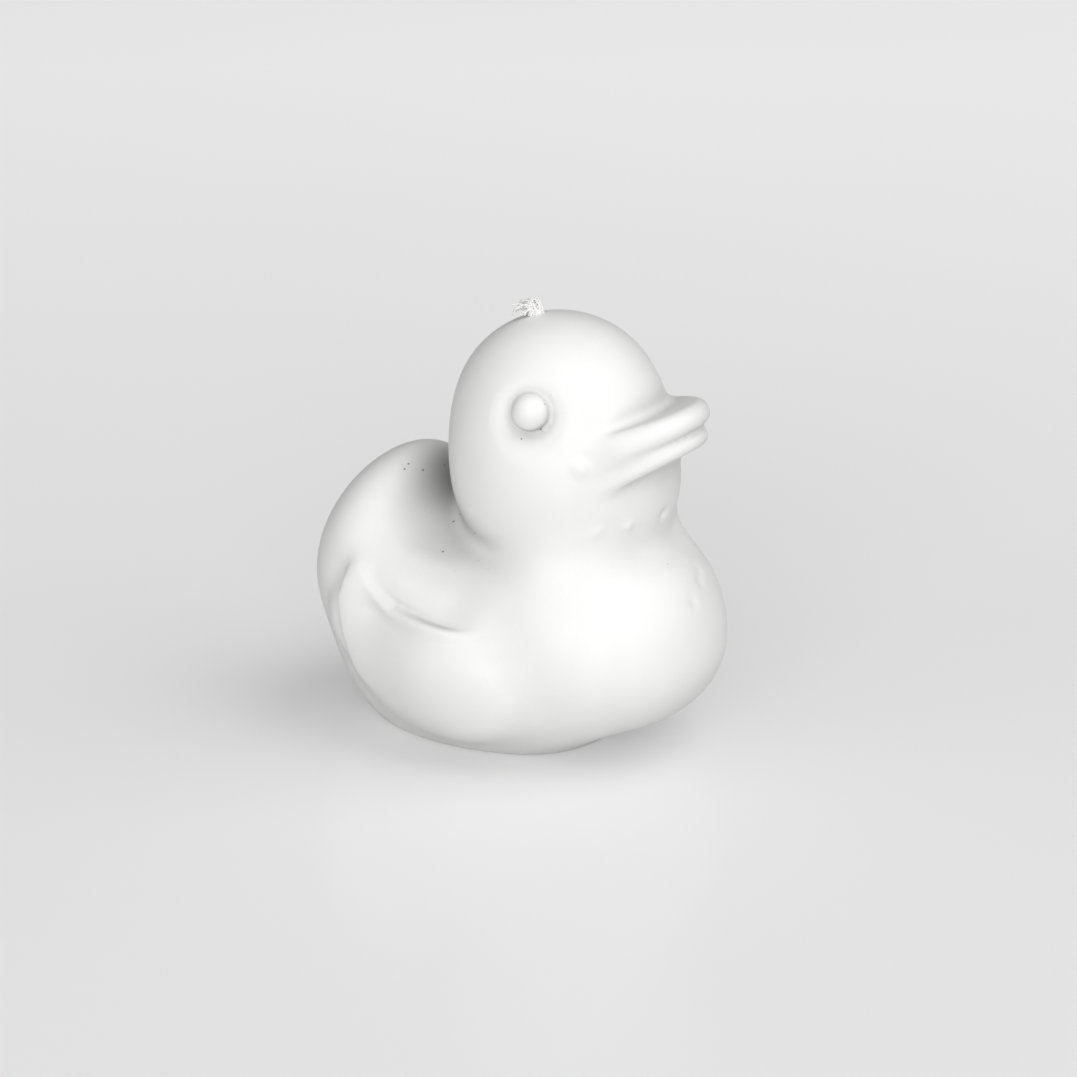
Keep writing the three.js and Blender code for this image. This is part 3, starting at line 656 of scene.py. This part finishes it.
camera_turn = math.radians(CAMERA_TURN)
away = bearing_way(camera_turn, math.radians(CAMERA_RISE))
right = Vector((0, 0, 1)).cross(away).normalized()
up = away.cross(right)

stage = floor()
stage.rotation_euler = (0, 0, camera_turn)
stage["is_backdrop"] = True

camera = bpy.data.objects.new("camera", bpy.data.cameras.new("camera"))
bpy.context.scene.collection.objects.link(camera)
camera.data.sensor_width = SENSOR
camera.data.lens = CAMERA_LENS
camera.data.clip_start = CLIP_START
aim = CAMERA_TARGET + right * AIM_RIGHT + up * AIM_UP + Vector((SHIFT, 0, 0))
camera.location = (aim + away * CAMERA_DISTANCE) * MM
camera.rotation_euler = away.to_track_quat("Z", "Y").to_euler()
bpy.context.scene.camera = camera


def lamp(name, bearing, height, distance, size, power):
    """A square soft light that looks at the middle of the duck."""
    way = bearing_way(camera_turn + math.radians(bearing), math.radians(height))
    made = bpy.data.objects.new(name, bpy.data.lights.new(name, "AREA"))
    bpy.context.scene.collection.objects.link(made)
    made.location = Vector((0, 0, LAMP_AIM)) + way * distance
    made.rotation_euler = way.to_track_quat("Z", "Y").to_euler()
    made.data.size = size
    made.data.energy = power
    made.visible_camera = False
    return made


lamp("key", KEY_BEARING, KEY_HEIGHT, KEY_DISTANCE, KEY_SIZE, KEY_POWER)
lamp("fill", FILL_BEARING, FILL_HEIGHT, FILL_DISTANCE, FILL_SIZE, FILL_POWER)


def studio_world():
    """Soft light from the camera's side, falling away to none from behind the duck."""
    world = bpy.data.worlds.new("studio")
    world.use_nodes = True
    tree = world.node_tree
    facing = add(tree, "ShaderNodeVectorMath", operation="DOT_PRODUCT")
    tree.links.new(add(tree, "ShaderNodeTexCoord").outputs["Generated"], facing.inputs[0])
    facing.inputs[1].default_value = away
    level = span(tree, facing.outputs["Value"], SKY_EDGE_BACK, SKY_EDGE_FRONT, SKY_BACK, SKY_FRONT)
    level.node.interpolation_type = "SMOOTHSTEP"
    tree.links.new(level, tree.nodes["Background"].inputs["Strength"])
    tree.nodes["Background"].inputs["Color"].default_value = (1, 1, 1, 1)
    return world


bpy.context.scene.world = studio_world()

bpy.context.scene.view_settings.view_transform = "Standard"

boxes = {"cad": cad_box, "visual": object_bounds()}
{name: [list(corner) for corner in box] for name, box in boxes.items()}
